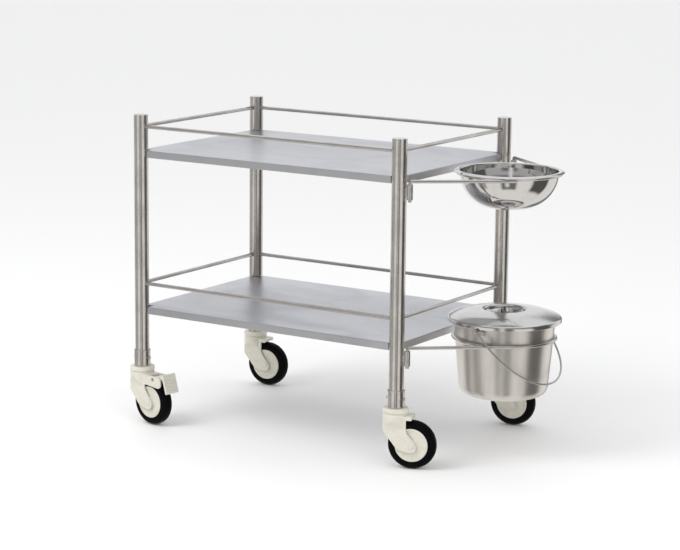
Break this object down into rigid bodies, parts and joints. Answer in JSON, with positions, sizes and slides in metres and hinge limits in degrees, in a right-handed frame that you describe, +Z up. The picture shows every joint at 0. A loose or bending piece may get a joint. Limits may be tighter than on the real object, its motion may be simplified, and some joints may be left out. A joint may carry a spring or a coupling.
{
  "type": "dressing trolley",
  "caption": "Shelved steel dressing trolley on swivel casters, with guard rails, a bowl in a ring holder and a lidded bucket in a second ring holder.",
  "frame": {"origin": "on the floor, under the middle of the whole object's box", "axes": "+X along the shelves towards the bowl and bucket, +Y to the back, +Z up"},
  "size_m": [1.138, 0.6196, 0.834],
  "materials": {
    "brushed_stainless": "polished tube with fine drawn lines",
    "satin_sheet": "satin sheet, fine grain",
    "polished_stainless": "mirror polished",
    "satin_bucket": "spun and polished, soft vertical reflections",
    "screw_steel": "plain bright steel",
    "caster_plastic": "moulded cream nylon, light orange-peel",
    "tyre_rubber": "smooth moulded rubber"
  },
  "bodies": {
    "frame": {"post_front_left": "brushed_stainless", "post_front_right": "brushed_stainless", "post_back_left": "brushed_stainless", "post_back_right": "brushed_stainless", "post_caps": "brushed_stainless", "upper_rail_front": "brushed_stainless", "upper_rail_back": "brushed_stainless", "upper_rail_left": "brushed_stainless", "upper_rail_right": "brushed_stainless", "lower_rail_front": "brushed_stainless", "lower_rail_back": "brushed_stainless", "lower_rail_left": "brushed_stainless", "lower_rail_right": "brushed_stainless", "upper_shelf": "satin_sheet", "lower_shelf": "satin_sheet", "shelf_stiffeners": "satin_sheet", "shelf_lugs": "brushed_stainless", "sleeve_front_left": "brushed_stainless", "sleeve_front_right": "brushed_stainless", "sleeve_back_left": "brushed_stainless", "sleeve_back_right": "brushed_stainless", "sleeve_screws": "screw_steel", "caster_cup_front_left": "caster_plastic", "caster_cup_front_right": "caster_plastic", "caster_cup_back_left": "caster_plastic", "caster_cup_back_right": "caster_plastic", "bowl_ring_sockets": "brushed_stainless", "bucket_ring_sockets": "brushed_stainless"},
    "swivel_front_left": {"caster_fork_front_left": "caster_plastic", "axle_front_left": "screw_steel", "axle_caps_front_left": "caster_plastic", "brake_pin_front_left": "screw_steel"},
    "wheel_front_left": {"wheel_hub_front_left": "caster_plastic", "tyre_front_left": "tyre_rubber"},
    "brake_front_left": {"brake_pedal_front_left": "caster_plastic"},
    "swivel_front_right": {"caster_fork_front_right": "caster_plastic", "axle_front_right": "screw_steel", "axle_caps_front_right": "caster_plastic"},
    "wheel_front_right": {"wheel_hub_front_right": "caster_plastic", "tyre_front_right": "tyre_rubber"},
    "swivel_back_left": {"caster_fork_back_left": "caster_plastic", "axle_back_left": "screw_steel", "axle_caps_back_left": "caster_plastic"},
    "wheel_back_left": {"wheel_hub_back_left": "caster_plastic", "tyre_back_left": "tyre_rubber"},
    "swivel_back_right": {"caster_fork_back_right": "caster_plastic", "axle_back_right": "screw_steel", "axle_caps_back_right": "caster_plastic", "brake_pin_back_right": "screw_steel"},
    "wheel_back_right": {"wheel_hub_back_right": "caster_plastic", "tyre_back_right": "tyre_rubber"},
    "brake_back_right": {"brake_pedal_back_right": "caster_plastic"},
    "bowl_ring": {"bowl_ring": "brushed_stainless"},
    "bowl": {"bowl": "polished_stainless"},
    "bucket_ring": {"bucket_ring": "brushed_stainless"},
    "bucket": {"bucket": "satin_bucket", "bucket_ears": "screw_steel"},
    "lid": {"lid": "polished_stainless", "lid_handle": "polished_stainless"},
    "bail": {"bail": "screw_steel"}
  },
  "joints": [
    {"name": "caster_swivel_front_left", "type": "hinge", "parent": "frame", "child": "swivel_front_left", "pos_m": [-0.536, -0.2675, 0.1425], "axis": [0, 0, 1], "continuous": true},
    {"name": "wheel_spin_front_left", "type": "hinge", "parent": "swivel_front_left", "child": "wheel_front_left", "pos_m": [-0.49267, -0.27514, 0.0625], "axis": [0.1736, 0.9848, 0], "continuous": true},
    {"name": "brake_press_front_left", "type": "hinge", "parent": "swivel_front_left", "child": "brake_front_left", "pos_m": [-0.47297, -0.27861, 0.129], "axis": [0.1736, 0.9848, 0], "range_deg": [0, 12]},
    {"name": "caster_swivel_front_right", "type": "hinge", "parent": "frame", "child": "swivel_front_right", "pos_m": [0.264, -0.2675, 0.1425], "axis": [0, 0, 1], "continuous": true},
    {"name": "wheel_spin_front_right", "type": "hinge", "parent": "swivel_front_right", "child": "wheel_front_right", "pos_m": [0.30585, -0.2539, 0.0625], "axis": [-0.309, 0.9511, 0], "continuous": true},
    {"name": "caster_swivel_back_left", "type": "hinge", "parent": "frame", "child": "swivel_back_left", "pos_m": [-0.536, 0.2675, 0.1425], "axis": [0, 0, 1], "continuous": true},
    {"name": "wheel_spin_back_left", "type": "hinge", "parent": "swivel_back_left", "child": "wheel_back_left", "pos_m": [-0.49206, 0.2698, 0.0625], "axis": [-0.0523, 0.9986, 0], "continuous": true},
    {"name": "caster_swivel_back_right", "type": "hinge", "parent": "frame", "child": "swivel_back_right", "pos_m": [0.264, 0.2675, 0.1425], "axis": [0, 0, 1], "continuous": true},
    {"name": "wheel_spin_back_right", "type": "hinge", "parent": "swivel_back_right", "child": "wheel_back_right", "pos_m": [0.30733, 0.27514, 0.0625], "axis": [-0.1736, 0.9848, 0], "continuous": true},
    {"name": "brake_press_back_right", "type": "hinge", "parent": "swivel_back_right", "child": "brake_back_right", "pos_m": [0.32703, 0.27861, 0.129], "axis": [-0.1736, 0.9848, 0], "range_deg": [0, 12]},
    {"name": "bowl_ring_lift", "type": "slide", "parent": "frame", "child": "bowl_ring", "axis": [0, 0, 1], "range_m": [0, 0.045]},
    {"name": "bowl_lift", "type": "slide", "parent": "bowl_ring", "child": "bowl", "axis": [0, 0, 1], "range_m": [0, 0.1]},
    {"name": "bucket_ring_lift", "type": "slide", "parent": "frame", "child": "bucket_ring", "axis": [0, 0, 1], "range_m": [0, 0.045]},
    {"name": "bucket_lift", "type": "slide", "parent": "bucket_ring", "child": "bucket", "axis": [0, 0, 1], "range_m": [0, 0.17]},
    {"name": "lid_lift", "type": "slide", "parent": "bucket", "child": "lid", "axis": [0, 0, 1], "range_m": [0, 0.08]},
    {"name": "bail_swing", "type": "hinge", "parent": "bucket", "child": "bail", "pos_m": [0.423, 0, 0.348], "axis": [0, -1, 0], "range_deg": [0, 205]}
  ]
}
